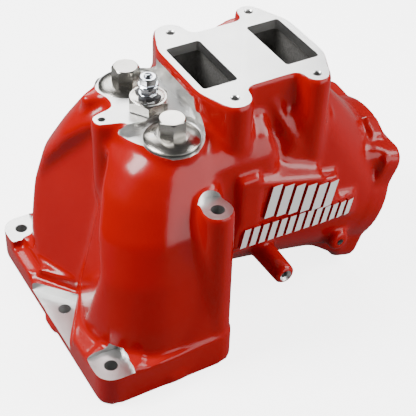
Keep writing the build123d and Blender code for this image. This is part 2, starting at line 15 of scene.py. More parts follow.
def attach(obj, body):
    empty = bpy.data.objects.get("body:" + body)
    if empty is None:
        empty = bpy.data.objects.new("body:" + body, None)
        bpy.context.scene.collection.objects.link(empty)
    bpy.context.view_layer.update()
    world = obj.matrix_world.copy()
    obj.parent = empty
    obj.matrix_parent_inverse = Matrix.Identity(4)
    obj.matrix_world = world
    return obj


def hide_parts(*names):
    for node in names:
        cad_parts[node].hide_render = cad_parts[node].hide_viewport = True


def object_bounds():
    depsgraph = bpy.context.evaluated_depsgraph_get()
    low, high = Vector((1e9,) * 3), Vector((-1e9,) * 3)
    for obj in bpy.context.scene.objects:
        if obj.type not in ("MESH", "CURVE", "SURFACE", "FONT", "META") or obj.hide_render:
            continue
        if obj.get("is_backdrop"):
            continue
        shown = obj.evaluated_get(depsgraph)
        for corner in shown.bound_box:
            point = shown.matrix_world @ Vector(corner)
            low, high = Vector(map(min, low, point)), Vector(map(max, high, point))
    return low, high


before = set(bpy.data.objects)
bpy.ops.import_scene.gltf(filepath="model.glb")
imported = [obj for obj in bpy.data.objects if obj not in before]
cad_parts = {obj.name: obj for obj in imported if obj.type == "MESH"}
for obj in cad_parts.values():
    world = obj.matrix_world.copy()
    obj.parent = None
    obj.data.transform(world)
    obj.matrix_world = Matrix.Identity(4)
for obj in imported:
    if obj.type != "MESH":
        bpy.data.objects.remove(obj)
cad_low, cad_high = (list(corner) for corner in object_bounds())
print("CAD box in millimetres:", [round(1000 * value) for value in cad_low + cad_high])

# %% [markdown]
# ## Camera
# A product view from the front left and above. The camera's turn is built from three angles,
# because they say more than a matrix does: how far it has walked round the object, how high it
# looks down, and how much it leans.

# %% Camera
camera_azimuth = math.radians(-30.935)
camera_elevation = math.radians(40.341)
camera_lean = math.radians(2.262)
camera_place = Vector((-0.2371, -0.5215, 0.5732))

camera_data = bpy.data.cameras.new("product_camera")
camera_data.sensor_width = 36.0
camera_data.lens = 97.67
camera = bpy.data.objects.new("product_camera", camera_data)
bpy.context.scene.collection.objects.link(camera)
turn = Matrix.Rotation(camera_azimuth, 4, "Z")
tip = Matrix.Rotation(math.radians(90) - camera_elevation, 4, "X")
lean = Matrix.Rotation(camera_lean, 4, "Z")
camera.matrix_world = Matrix.Translation(camera_place) @ turn @ tip @ lean
bpy.context.scene.camera = camera
print("camera at", [round(value, 3) for value in camera_place])

# %% [markdown]
# ## Studio
# Gloss paint shows what surrounds it, so the studio is part of the finish. The floor looks
# white, but what the paint mirrors of it is darker, which keeps the lower walls a deep red. Four
# soft boxes draw the highlights.

# %% Floor, world and lights
floor_mesh = bpy.data.meshes.new("studio_floor")
floor_bm = bmesh.new()
bmesh.ops.create_grid(floor_bm, x_segments=1, y_segments=1, size=3.0)
floor_bm.to_mesh(floor_mesh)
floor_bm.free()
floor = bpy.data.objects.new("studio_floor", floor_mesh)
bpy.context.scene.collection.objects.link(floor)
floor.location.z = cad_low[2] - 0.0002
floor_finish = bpy.data.materials.new("studio_paper")
floor_finish.use_nodes = True
paper = floor_finish.node_tree.nodes["Principled BSDF"]
paper.inputs["Emission Color"].default_value = (1.0, 1.0, 1.0, 1)
paper_tree = floor_finish.node_tree
seen = paper_tree.nodes.new("ShaderNodeLightPath").outputs["Is Camera Ray"]
for socket_name, when_seen, when_mirrored in (("Emission Strength", 4.05, 0.05), ("Base Color", 0.93, 0.13)):
    choice = paper_tree.nodes.new("ShaderNodeMath")
    choice.operation = "MULTIPLY_ADD"
    choice.inputs[1].default_value = when_seen - when_mirrored
    choice.inputs[2].default_value = when_mirrored
    paper_tree.links.new(seen, choice.inputs[0])
    paper_tree.links.new(choice.outputs[0], paper.inputs[socket_name])
paper.inputs["Roughness"].default_value = 0.6
paper.inputs["Specular IOR Level"].default_value = 0.2
floor_mesh.materials.append(floor_finish)
floor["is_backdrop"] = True

world = bpy.data.worlds.new("studio_world")
world.use_nodes = True
world.node_tree.nodes["Background"].inputs["Color"].default_value = (1.0, 1.0, 1.0, 1)
world.node_tree.nodes["Background"].inputs["Strength"].default_value = 0.06
bpy.context.scene.world = world

object_middle = Vector((0.07, 0.0, 0.08))


def area_light(name, place, size, power):
    """A soft box that faces the middle of the object."""
    light_data = bpy.data.lights.new(name, "AREA")
    light_data.shape = "RECTANGLE"
    light_data.size = size[0]
    light_data.size_y = size[1]
    light_data.energy = power
    light = bpy.data.objects.new(name, light_data)
    bpy.context.scene.collection.objects.link(light)
    light.location = place
    light.rotation_euler = (object_middle - Vector(place)).to_track_quat("-Z", "Y").to_euler()
    return light


area_light("key_softbox", (-0.70, 0.25, 1.0), (0.5, 0.5), 26)
area_light("right_softbox", (0.95, -0.35, 0.75), (0.5, 0.7), 10)
area_light("front_softbox", (0.75, -1.15, 0.40), (1.3, 0.9), 13)
area_light("back_softbox", (0.35, 1.0, 0.9), (1.0, 0.4), 12)

# %% [markdown]
# ## Shared shader groups
# The same few effects show on every metal piece: a fine random grain, a slow change of tone
# across the surface, a painted highlight on faces that look up (a pale veil that also roughens
# them as a dusty film would), and bright worn edges. Each one is a node group with named
# sockets, so a material only has to choose how much of it it wants.

# %% Grain, painted upward highlight, and edge groups


def new_group(name, inputs, outputs):
    """An empty shader node group with float or colour sockets."""
    group = bpy.data.node_groups.new(name, "ShaderNodeTree")
    for socket, value in inputs.items():
        kind = "NodeSocketColor" if isinstance(value, tuple) else "NodeSocketFloat"
        made = group.interface.new_socket(socket, in_out="INPUT", socket_type=kind)
        made.default_value = value
    for socket, kind in outputs.items():
        group.interface.new_socket(socket, in_out="OUTPUT", socket_type=kind)
    return group, group.nodes.new("NodeGroupInput"), group.nodes.new("NodeGroupOutput")


def math_node(tree, operation, first, second, clamp=False):
    """A Math node whose operands are sockets or plain numbers; returns its output."""
    node = tree.nodes.new("ShaderNodeMath")
    node.operation = operation
    node.use_clamp = clamp
    for slot_number, operand in enumerate((first, second)):
        if isinstance(operand, (int, float)):
            node.inputs[slot_number].default_value = operand
        else:
            tree.links.new(operand, node.inputs[slot_number])
    return node.outputs[0]


def noise_node(tree, scale, detail, vector, roughness=0.55):
    """Noise in object space, so that it stays put when the piece is seen from elsewhere."""
    node = tree.nodes.new("ShaderNodeTexNoise")
    node.inputs["Detail"].default_value = detail
    node.inputs["Roughness"].default_value = roughness
    if isinstance(scale, (int, float)):
        node.inputs["Scale"].default_value = scale
    else:
        tree.links.new(scale, node.inputs["Scale"])
    tree.links.new(vector, node.inputs["Vector"])
    return node.outputs["Fac"]


def mix_colour(tree, share, first, second):
    """A colour mix; each end is a socket or a plain colour."""
    node = tree.nodes.new("ShaderNodeMix")
    node.data_type = "RGBA"
    if isinstance(share, (int, float)):
        node.inputs["Factor"].default_value = share
    else:
        tree.links.new(share, node.inputs["Factor"])
    for socket, colour in ((node.inputs[6], first), (node.inputs[7], second)):
        if isinstance(colour, tuple):
            socket.default_value = colour
        else:
            tree.links.new(colour, socket)
    return node.outputs[2]


def surface_grain_group():
    """Fine grain and slow blotches, both centred on one half."""
    group, source, result = new_group(
        "surface_grain",
        {"Grain Scale": 900.0, "Blotch Scale": 14.0},
        {"Grain": "NodeSocketFloat", "Blotches": "NodeSocketFloat"},
    )
    place = group.nodes.new("ShaderNodeTexCoord").outputs["Object"]
    grain = noise_node(group, source.outputs["Grain Scale"], 3.0, place)
    blotches = noise_node(group, source.outputs["Blotch Scale"], 2.0, place)
    group.links.new(grain, result.inputs["Grain"])
    group.links.new(blotches, result.inputs["Blotches"])
    return group


def painted_highlight_and_dust_group():
    """Painted highlight: an uneven pale veil on the faces that look up, which also roughens them."""
    group, source, result = new_group(
        "painted_highlight_and_dust", {"Amount": 0.2}, {"Mask": "NodeSocketFloat"}
    )
    place = group.nodes.new("ShaderNodeTexCoord").outputs["Object"]
    normal = group.nodes.new("ShaderNodeNewGeometry").outputs["Normal"]
    split = group.nodes.new("ShaderNodeSeparateXYZ")
    group.links.new(normal, split.inputs[0])
    # painted highlight: the more a face looks up, the more of the pale veil it gets
    upward = math_node(group, "POWER", math_node(group, "MAXIMUM", split.outputs["Z"], 0.0), 3.0)
    patches = noise_node(group, 60.0, 5.0, place, roughness=0.7)
    patchy = math_node(group, "MULTIPLY", upward, patches)
    mask = math_node(group, "MULTIPLY", patchy, source.outputs["Amount"], clamp=True)
    group.links.new(mask, result.inputs["Mask"])
    return group


def edge_group():
    """Convex edges, where a coat is thin or a bright metal is polished by handling."""
    group, source, result = new_group(
        "worn_edges", {"Sharpness": 8.0, "Amount": 1.0}, {"Mask": "NodeSocketFloat"}
    )
    place = group.nodes.new("ShaderNodeTexCoord").outputs["Object"]
    pointy = group.nodes.new("ShaderNodeNewGeometry").outputs["Pointiness"]
    raised = math_node(group, "SUBTRACT", pointy, 0.52)
    steep = math_node(group, "MULTIPLY", raised, source.outputs["Sharpness"], clamp=True)
    broken = noise_node(group, 220.0, 4.0, place)
    mask = math_node(group, "MULTIPLY", steep, broken)
    mask = math_node(group, "MULTIPLY", mask, source.outputs["Amount"], clamp=True)
    group.links.new(mask, result.inputs["Mask"])
    return group


def tool_mark_group():
    """The faint parallel lines that a face mill leaves, bent by a slow wobble."""
    group, source, result = new_group(
        "tool_marks", {"Line Scale": 900.0, "Wobble": 0.6}, {"Lines": "NodeSocketFloat"}
    )
    place = group.nodes.new("ShaderNodeTexCoord").outputs["Object"]
    lines = group.nodes.new("ShaderNodeTexWave")
    lines.wave_type = "RINGS"
    lines.rings_direction = "Z"
    lines.inputs["Detail"].default_value = 2.0
    lines.inputs["Detail Scale"].default_value = 3.0
    group.links.new(place, lines.inputs["Vector"])
    group.links.new(source.outputs["Line Scale"], lines.inputs["Scale"])
    group.links.new(source.outputs["Wobble"], lines.inputs["Distortion"])
    group.links.new(lines.outputs["Fac"], result.inputs["Lines"])
    return group


surface_grain = surface_grain_group()
painted_highlight_and_dust = painted_highlight_and_dust_group()
worn_edges = edge_group()
tool_marks = tool_mark_group()
print("groups:", [group.name for group in bpy.data.node_groups])

# %% [markdown]
# ## Finishes
# The red is a powder coat: one thick, glossy layer that has flowed in the oven. It has a slight
# orange peel, and it pales where it is thin on sharp edges. The milled aluminium is bright and
# finely lined, the raw casting inside the ports is dull and pitted, and the fasteners are turned
# stainless steel or bright zinc plate.

# %% Materials


def new_finish(name):
    """A material with its shader and the shared groups' helper functions at hand."""
    finish = bpy.data.materials.new(name)
    finish.use_nodes = True
    tree = finish.node_tree
    return finish, tree, tree.nodes["Principled BSDF"]


def place_group(tree, group, **values):
    """One use of a shared group, with its inputs set by name."""
    node = tree.nodes.new("ShaderNodeGroup")
    node.node_tree = group
    for socket, value in values.items():
        node.inputs[socket.replace("_", " ")].default_value = value
    return node


def bump(tree, shader, height, distance, strength=1.0):
    """A Bump node from a height socket to the shader's normal."""
    node = tree.nodes.new("ShaderNodeBump")
    node.inputs["Distance"].default_value = distance
    node.inputs["Strength"].default_value = strength
    tree.links.new(height, node.inputs["Height"])
    tree.links.new(node.outputs["Normal"], shader.inputs["Normal"])


def powder_coat():
    """Glossy red over the casting."""
    finish, tree, shader = new_finish("red_powder_coat")
    grain = place_group(tree, surface_grain, Grain_Scale=420.0, Blotch_Scale=22.0)
    highlight_and_dust = place_group(tree, painted_highlight_and_dust, Amount=0.10)
    edges = place_group(tree, worn_edges, Sharpness=9.0, Amount=0.55)
    red = mix_colour(tree, grain.outputs["Blotches"], (0.36, 0.0003, 0.0004, 1), (0.46, 0.0005, 0.0006, 1))
    red = mix_colour(tree, edges.outputs["Mask"], red, (0.85, 0.03, 0.02, 1))
    # painted highlight: a pale pink on the faces that look up, where the soft boxes light them; the same mask
    # also raises the roughness below, as a dusty film would
    red = mix_colour(tree, highlight_and_dust.outputs["Mask"], red, (0.66, 0.20, 0.17, 1))
    tree.links.new(red, shader.inputs["Base Color"])
    rough = math_node(tree, "MULTIPLY_ADD", grain.outputs["Blotches"], 0.10)
    rough.node.inputs[2].default_value = 0.17
    rough = math_node(tree, "ADD", rough, highlight_and_dust.outputs["Mask"])
    tree.links.new(rough, shader.inputs["Roughness"])
    shader.inputs["Specular IOR Level"].default_value = 0.28
    shader.inputs["Coat Weight"].default_value = 0.18
    shader.inputs["Coat Roughness"].default_value = 0.05
    peel = noise_node(tree, 130.0, 1.0, tree.nodes.new("ShaderNodeTexCoord").outputs["Object"])
    bump(tree, shader, peel, 0.00022, 0.55)
    return finish


def milled(name, base, roughness, line_scale, line_depth):
    """A machined metal with tool marks, faint stains and polished edges."""
    finish, tree, shader = new_finish(name)
    grain = place_group(tree, surface_grain, Grain_Scale=1400.0, Blotch_Scale=45.0)
    marks = place_group(tree, tool_marks, Line_Scale=line_scale, Wobble=0.8)
    edges = place_group(tree, worn_edges, Sharpness=6.0, Amount=0.8)
    dark = tuple(value * 0.78 for value in base) + (1,)
    light = tuple(min(1.0, value * 1.06) for value in base) + (1,)
    colour = mix_colour(tree, grain.outputs["Blotches"], dark, light)
    colour = mix_colour(tree, edges.outputs["Mask"], colour, (0.88, 0.88, 0.87, 1))
    tree.links.new(colour, shader.inputs["Base Color"])
    shader.inputs["Metallic"].default_value = 1.0
    rough = math_node(tree, "MULTIPLY_ADD", grain.outputs["Grain"], 0.16)
    rough.node.inputs[2].default_value = roughness - 0.08
    tree.links.new(rough, shader.inputs["Roughness"])
    bump(tree, shader, marks.outputs["Lines"], line_depth, 0.5)
    return finish


def raw_casting():
    """Bare aluminium as it left the sand: dull, dark and pitted."""
    finish, tree, shader = new_finish("cast_aluminium")
    grain = place_group(tree, surface_grain, Grain_Scale=650.0, Blotch_Scale=40.0)
    stained = mix_colour(tree, grain.outputs["Blotches"], (0.17, 0.165, 0.155, 1), (0.46, 0.45, 0.43, 1))
    pitted = mix_colour(tree, grain.outputs["Grain"], (0.12, 0.115, 0.11, 1), stained)
    tree.links.new(pitted, shader.inputs["Base Color"])
    shader.inputs["Metallic"].default_value = 0.75
    rough = math_node(tree, "MULTIPLY_ADD", grain.outputs["Grain"], 0.25)
    rough.node.inputs[2].default_value = 0.42
    tree.links.new(rough, shader.inputs["Roughness"])
    bump(tree, shader, grain.outputs["Grain"], 0.0005, 0.8)
    return finish


def dull_solid(name, low, high, roughness, grain_scale, depth):
    """Rubber, moulded plastic or ceramic: two close tones and a grain."""
    finish, tree, shader = new_finish(name)
    grain = place_group(tree, surface_grain, Grain_Scale=grain_scale, Blotch_Scale=60.0)
    edges = place_group(tree, worn_edges, Sharpness=5.0, Amount=0.3)
    colour = mix_colour(tree, grain.outputs["Blotches"], low + (1,), high + (1,))
    pale = tuple(min(1.0, value * 2 + 0.05) for value in high) + (1,)
    colour = mix_colour(tree, edges.outputs["Mask"], colour, pale)
    tree.links.new(colour, shader.inputs["Base Color"])
    rough = math_node(tree, "MULTIPLY_ADD", grain.outputs["Grain"], 0.2)
    rough.node.inputs[2].default_value = roughness - 0.1
    tree.links.new(rough, shader.inputs["Roughness"])
    bump(tree, shader, grain.outputs["Grain"], depth, 0.6)
    return finish


red_coat = powder_coat()
milled_aluminium = milled("machined_aluminium", (0.80, 0.80, 0.79), 0.34, 260.0, 0.00004)
cast_aluminium = raw_casting()
stainless = milled("stainless", (0.50, 0.48, 0.44), 0.22, 420.0, 0.00005)
zinc = milled("zinc_plate", (0.62, 0.65, 0.70), 0.16, 600.0, 0.00002)
wire_metal = milled("resistance_wire", (0.26, 0.24, 0.23), 0.45, 900.0, 0.00002)
copper = milled("copper", (0.74, 0.40, 0.26), 0.32, 500.0, 0.00003)
black_plastic = dull_solid(
    "black_insulator", (0.012, 0.012, 0.014), (0.03, 0.03, 0.034), 0.45, 900.0, 0.00008
)
rubber = dull_solid("seal_rubber", (0.008, 0.008, 0.008), (0.022, 0.022, 0.022), 0.6, 1200.0, 0.00005)
ceramic = dull_solid("ceramic", (0.70, 0.66, 0.58), (0.84, 0.81, 0.75), 0.55, 800.0, 0.00008)
white_enamel = dull_solid("white_enamel", (0.78, 0.78, 0.78), (0.88, 0.88, 0.87), 0.35, 700.0, 0.00003)
print("finishes:", sorted(finish.name for finish in bpy.data.materials if finish.use_nodes))

# %% [markdown]
# ## Shapes to cast from
# The outside of a casting is a pattern maker's job: simple turned and tapered wooden shapes,
# glued together, with wax fillets in the corners. The helpers below make those simple shapes
# with bmesh operators, in millimetres. The fillets come later, from one voxel remesh that melts
# all of them into a single skin.

# %% Pattern shapes
MM = 0.001


def cylinder(base, radius, length, axis=(0, 0, 1), top_radius=None, segments=48):
    """A closed cylinder or cone that starts at base and runs along axis."""
    bm = bmesh.new()
    direction = Vector(axis).normalized()
    turn = direction.to_track_quat("Z", "Y").to_matrix().to_4x4()
    middle = Vector(base) + direction * (length / 2)
    bmesh.ops.create_cone(
        bm, cap_ends=True, segments=segments, radius1=radius, depth=length,
        radius2=radius if top_radius is None else top_radius,
        matrix=Matrix.Translation(middle) @ turn,
    )
    return bm


def block(low, high, corner=0.0, segments=6):
    """A box; corner rounds its four upright edges."""
    bm = bmesh.new()
    size = Vector(high) - Vector(low)
    middle = (Vector(high) + Vector(low)) / 2
    bmesh.ops.create_cube(bm, size=1.0, matrix=Matrix.Translation(middle) @ Matrix.Diagonal((*size, 1)))
    if corner > 0:
        upright = [e for e in bm.edges if abs((e.verts[0].co - e.verts[1].co).normalized().z) > 0.9]
        bmesh.ops.bevel(
            bm, geom=upright, offset=corner, segments=segments, profile=0.5, affect="EDGES", material=-1
        )
    return bm


def closed_hull(bm):
    """Wraps every point of bm in one convex skin and drops what is left inside."""
    hull = bmesh.ops.convex_hull(bm, input=bm.verts)
    spare = hull["geom_interior"] + hull["geom_unused"]
    spare = {item for item in spare if isinstance(item, bmesh.types.BMVert)}
    bmesh.ops.delete(bm, geom=list(spare), context="VERTS")
    return bm


def hull_of(discs=(), rings=(), points=()):
    """One convex solid around level discs, placed unit rings and single points together."""
    bm = bmesh.new()
    for x, y, z, radius in discs:
        place = Matrix.Translation((x, y, z))
        bmesh.ops.create_circle(bm, cap_ends=False, segments=40, radius=radius, matrix=place)
    for ring in rings:
        bmesh.ops.create_circle(bm, cap_ends=False, segments=72, radius=1.0, matrix=ring)
    for point in points:
        bmesh.ops.create_vert(bm, co=point)
    return closed_hull(bm)


def prism(discs, low, high):
    """An upright prism around discs given as (x, y, radius), like a belt around pulleys."""
    return hull_of([(x, y, z, radius) for z in (low, high) for x, y, radius in discs])


def moved(bm, matrix):
    bmesh.ops.transform(bm, matrix=matrix, verts=bm.verts)
    return bm


def gathered(name, shapes, finish):
    """One mesh object from several shapes, still in millimetres."""
    mesh = bpy.data.meshes.new(name)
    whole = bmesh.new()
    for shape in shapes:
        part = bpy.data.meshes.new("part")
        shape.to_mesh(part)
        shape.free()
        whole.from_mesh(part)
        bpy.data.meshes.remove(part)
    bmesh.ops.recalc_face_normals(whole, faces=whole.faces)
    whole.to_mesh(mesh)
    whole.free()
    mesh.materials.append(finish)
    piece = bpy.data.objects.new(name, mesh)
    bpy.context.scene.collection.objects.link(piece)
    return piece


def taken(piece):
    """The shape of a helper piece, which is then thrown away."""
    bm = bmesh.new()
    bm.from_mesh(piece.data)
    bpy.data.objects.remove(piece)
    return bm


def applied(piece):
    """Bakes the modifiers of a piece into its mesh."""
    graph = bpy.context.evaluated_depsgraph_get()
    mesh = bpy.data.meshes.new_from_object(piece.evaluated_get(graph))
    piece.modifiers.clear()
    old = piece.data
    piece.data = mesh
    bpy.data.meshes.remove(old)
    return piece


def cut_away(piece, shapes, finish):
    """Mills shapes out of a piece; the new faces take the cutter's finish."""
    cutter = gathered("cutter", shapes, finish)
    cut = piece.modifiers.new("cut", "BOOLEAN")
    cut.operation = "DIFFERENCE"
    cut.object = cutter
    cut.solver = "MANIFOLD"
    cut.material_mode = "TRANSFER"
    applied(piece)
    bpy.data.objects.remove(cutter)
    used = sorted({face.material_index for face in piece.data.polygons})
    print(piece.name, "after the cut:", len(piece.data.polygons), "faces, finishes", used)
    return piece


# %% [markdown]
# ## Driving sizes of the casting
# These are the sizes that the bolted parts have, so the blank and the milling agree. The stock
# is what the blank stands proud of a milled face, and what the cutter then takes away.

# %% Sizes in millimetres
base_half_width, base_half_length, base_thickness = 49.5, 88.0, 25.0
corner_bolt_x, corner_bolt_y, bolt_hole = 37.5, 75.0, 4.5
seat_z, pad_z, valve_z = 154.5, 160.0, 180.0
pad_x, plug_y, ear_x = 28.5, 32.0, -4.0
valve_x, valve_bolt_x, valve_bolt_y = 96.5, 30.0, 42.0
port_x, port_half_width, port_half_length = 30.25, 12.5, 25.5
inlet_centre = Vector((188.0, 0.0, 52.5))
inlet_turn = math.radians(90 + 18)
inlet_bore, inlet_bolt = 44.0, 38.5
duct_radius = 54.0
stock, inlet_stock = 1.5, 1.8
front_sleeve_z, rear_sleeve_z, sleeve_radius = 127.0, 96.0, 11.0
boss_x, boss_z, boss_end_y = 89.5, 53.0, -80.0
sensor_x, sensor_z = 152, 38
inlet_frame = Matrix.Translation(inlet_centre) @ Matrix.Rotation(inlet_turn, 4, "Y")
gas_x, gas_z, gas_y = valve_x + port_x, 146.0, 62.0


hood_levels = (
    (0, -38, 84, 38), (14, -38.5, 84, 40), (45, -38.5, 83, 42), (80, -36, 79, 42),
    (108, -29, 72, 38), (130, -18, 62, 34), (145, -6, 55, 28), (152, 3, 50, 22),
)


def hood_shape(inset, levels):
    """The hood or its core: four rounded upright corners, joined level by level."""
    discs = []
    for z, left, half, corner in levels:
        right = 46 + 5 * z / seat_z - inset - 14
        for side in (-1, 1):
            discs.append((left + corner, side * (half - corner), z, corner - inset))
            discs.append((right, side * (half - inset - 14), z, 14))
    return hull_of(discs)


fold_y = 3.5
fold_line = ((10, -28), (45, -21.5), (88, -12), (122, -3), (153, 8))


def fold_shape(offset, low=10):
    """The wedge that parts the hood's left side into two lobes, deeper towards the roof."""
    points = []
    for z, x in fold_line:
        level = max(z, low)
        points.append((x + offset, fold_y, level))
        for side in (-1, 1):
            points.append((-70, fold_y + side * (110 - 0.28 * z), level))
    return hull_of(points=points)


def duct_ring(share, radius):
    """A ring of the duct, which leaves the plenum level and tips down to the inlet."""
    x = 30.0 + (inlet_centre.x - 30.0) * share
    z = 84.0 - (84.0 - inlet_centre.z) * share ** 1.35
    tip = math.radians(18.0) * share ** 0.5
    place = Matrix.Translation((x, 0, z)) @ Matrix.Rotation(math.radians(90) + tip, 4, "Y")
    return place @ Matrix.Scale(radius, 4)


print("hood levels:", len(hood_levels))
print("duct ends at", [round(v, 1) for v in duct_ring(1.0, 1.0).translation])

# %% [markdown]
# ## The sand-cast blank
# Every shape below is a lump of the pattern. The hood is two round lobes with a fold between
# them, the duct is a chain of hulls along its bent line, and the valve tower is a few belts
# around its screw posts. The blank stands proud wherever a cutter will pass later.

# %% Hood and roof
seat_lump = 20.5
roof = prism(
    [(pad_x, -plug_y, seat_lump), (pad_x, plug_y, seat_lump), (34, -8, 18.5), (35, 18, 18.5)],
    118, pad_z + stock,
)
seat_shelf = prism(
    [(3, -12, 3), (9, -27, 4), (15, -36, 6), (pad_x, -plug_y, seat_lump), (pad_x, 0, 18)],
    130, seat_z + stock,
)
ear_arm = prism([(ear_x, 0, 7.5), (14, 0, 8), (22, 0, 12)], 150, pad_z + stock)
ear_mast = hull_of(discs=[(ear_x, 0, pad_z, 7.2), (ear_x, 0, 110, 7.2), (ear_x + 6, 0, 70, 7.2)])
ear_web = hull_of(points=[
    (x, y, z) for y in (-3.5, 3.5) for x, z in ((ear_x + 2, 158), (24, 158), (24, 90), (ear_x + 2, 90))
])
back_ear = prism([(1, 30, 5.5), (20, 30, 9)], 146, pad_z - 1)
hood = gathered("hood", [hood_shape(0.0, hood_levels)], red_coat)
cut_away(hood, [fold_shape(0.0)], red_coat)
skirt = hull_of(discs=[(10, -78, 4, 9.6), (38, -77.5, 4, 10.5), (38, -74, 72, 8), (16, -66, 76, 12)])
hood_parts = [taken(hood), skirt, roof, seat_shelf, ear_arm, ear_mast, ear_web, back_ear]
print("hood patterns:", len(hood_parts))

# %% [markdown]
# The duct leaves the hood under a broad square shoulder that carries the valve tower's left
# posts. A second bulb stands under the right posts and slopes down to the inlet, because the
# exhaust gas passage turns back through it. A soft ridge runs down where the two meet.

# %% Duct, shoulder, bulb and inlet flange
duct_steps = [step / 8 for step in range(9)]
duct_parts = [
    hull_of(rings=[duct_ring(a, duct_radius), duct_ring(b, duct_radius)])
    for a, b in zip(duct_steps, duct_steps[1:])
]
shoulder = hull_of(discs=[
    (x, side * y, z, radius) for side in (-1, 1) for x, y, z, radius in (
        (46, 46, 62, 10), (88, 46, 62, 10), (44, 46, 138, 10), (87, 46, 136, 10),
        (46, 43, 149, 7), (85, 43, 149, 8), (48, 36, 157, 4), (88, 34, 159, 4),
    )
])
bulb = hull_of(
    discs=[
        (x, side * y, z, radius) for side in (-1, 1)
        for x, y, z, radius in (
            (107, 33, 149, 6), (106, 40, 120, 9), (125, 36, 154, 9),
            (141, 20, 151, 10), (125, 38, 120, 12), (140, 34, 128, 14),
        )
    ],
    rings=[
        Matrix.Translation((118, 0, 82)) @ Matrix.Rotation(math.radians(90), 4, "Y") @ Matrix.Scale(52, 4),
        inlet_frame @ Matrix.Translation((0, 0, -15)) @ Matrix.Scale(54, 4),
    ],
)


def in_inlet_plane(shape, twist=0.0):
    """Turns a shape made upright about the origin so that it stands on the inlet face."""
    return moved(shape, inlet_frame @ Matrix.Rotation(twist, 4, "Z"))


inlet_thickness, lug_radius = 14.0, 11.0
lug_posts = [
    in_inlet_plane(hull_of(discs=[
        (u * inlet_bolt, v * inlet_bolt, -inlet_thickness, lug_radius - 0.5),
        (u * 31, v * 31, -inlet_thickness - 10, 12), (u * 30, v * 30, -58.0, 5.0),
    ]))
    for u in (-1, 1) for v in (-1, 1)
]
underside_web = hull_of(points=[
    (184, -30, 8), (184, -26, 8), (180, -32, 22), (180, -24, 22),
    (128, -20, 18), (128, -16, 18), (130, -20, 34), (130, -16, 34),
])
duct_all = duct_parts + [shoulder, bulb, underside_web] + lug_posts
print("duct patterns:", len(duct_all))

# %% [markdown]
# The valve tower is a belt round each pair of screw posts with a narrower waist between them,
# and a gusset runs from each long side down to the duct.

# %% Valve tower with its four screw posts
tower_low, tower_high = 96.0, valve_z + stock
left_posts = prism([(56, 26, 8), (56, -26, 8), (66.5, 42, 12), (66.5, -42, 12)], tower_low, tower_high)
waist = prism([(70, 27, 9), (70, -27, 9), (125, 27, 9), (125, -27, 9)], tower_low, tower_high)
right_posts = prism([(137, 20, 9), (137, -20, 9), (126.5, 42, 9.5), (126.5, -42, 9.5)], tower_low, tower_high)
gusset = [
    hull_of(points=[
        (x, side * y, z) for x, y, z in (
            (98, 32, 172), (101, 32, 170), (98, 30, 120), (101, 30, 120), (112, 49, 132), (115, 49, 130),
            (112, 40, 110), (115, 40, 110), (98, 38, 164), (101, 38, 163),
        )
    ])
    for side in (-1, 1)
]
tower_parts = [left_posts, waist, right_posts] + gusset
print("tower patterns:", len(tower_parts))

# %% [markdown]
# Two base bolts pass through long sleeves beside the duct, and a gas pipe enters at the back.

# %% Sleeves and the gas inlet
sleeves = []
for side, top in ((-1, front_sleeve_z), (1, rear_sleeve_z)):
    x, y = corner_bolt_x, side * corner_bolt_y
    sleeves.append(
        cylinder((x, y, 0), sleeve_radius + 0.6, top + stock, top_radius=sleeve_radius, segments=40)
    )
    sleeves.append(hull_of(points=[
        (x - 8, y - side * 4, 0), (x + 9, y - side * 4, 0), (30, side * 60, 0), (48, side * 56, 0),
        (x - 6, y - side * 6, top + 3), (x + 8, y - side * 6, top + 3),
        (30, side * 45, top + 8), (47, side * 42, top + 9),
    ]))
gas_boss = cylinder((gas_x, 0, gas_z - 6), 20.0, gas_y - 4, axis=(0, 1, 0.1), segments=48)
soft_parts = hood_parts + duct_all + tower_parts + sleeves + [gas_boss]
print("soft patterns in all:", len(soft_parts))

# %% [markdown]
# One voxel remesh melts all the lumps into a single watertight skin, and a few passes of
# smoothing turn every inner corner into the soft fillet that sand casting needs.

# %% Melt the soft shapes into one skin


def melted(piece, voxel, passes):
    """Remeshes a piece to even squares and relaxes them."""
    melt = piece.modifiers.new("melt", "REMESH")
    melt.mode = "VOXEL"
    melt.voxel_size = voxel
    melt.use_smooth_shade = True
    relax = piece.modifiers.new("relax", "SMOOTH")
    relax.factor = 0.5
    relax.iterations = passes
    applied(piece)
    print(piece.name, "melted to", len(piece.data.polygons), "faces")
    return piece


soft_body = gathered("soft_body", soft_parts, red_coat)
melted(soft_body, 2.0, 9)

# %% [markdown]
# The second round of patterns keeps its edges firmer: the base slab, the inlet flange, the side
# panel and the small cubes where the mould was fed. They are melted onto the soft body with
# smaller squares and fewer passes.

# %% Firm shapes: base, flange, panel, bosses
base_corner = 12
base = block(
    (-base_half_width, -base_half_length, 0),
    (base_half_width, base_half_length, base_thickness + 0.6), base_corner,
)
corner_lands = [
    block((-base_half_width, -base_half_length, 0), (-16, -58, base_thickness + 3.5), base_corner),
    block((-base_half_width, 60, 0), (-22, base_half_length, base_thickness + 2.5), base_corner),
]
rim = in_inlet_plane(cylinder((0, 0, -inlet_thickness), 54.5, inlet_thickness + inlet_stock, segments=96))
lug_square = in_inlet_plane(prism(
    [(u * inlet_bolt, v * inlet_bolt, lug_radius) for u in (-1, 1) for v in (-1, 1)],
    -inlet_thickness, inlet_stock,
), math.radians(4))
rim_tab = in_inlet_plane(block((-61, -9, -19), (-50, 9, -6), 1.2), math.radians(27))
boss = cylinder((boss_x, -46, boss_z), 8.2, 35, axis=(0, -1, 0), top_radius=7.4, segments=40)
sensor_boss = cylinder((sensor_x, -30, sensor_z), 8.0, 27.0, axis=(0, -1, 0), segments=32)
sensor_fin = hull_of(points=[
    (138, -46, 34), (160, -50, 50), (166, -48, 24), (150, -30, 30), (160, -30, 50), (168, -30, 20)
])
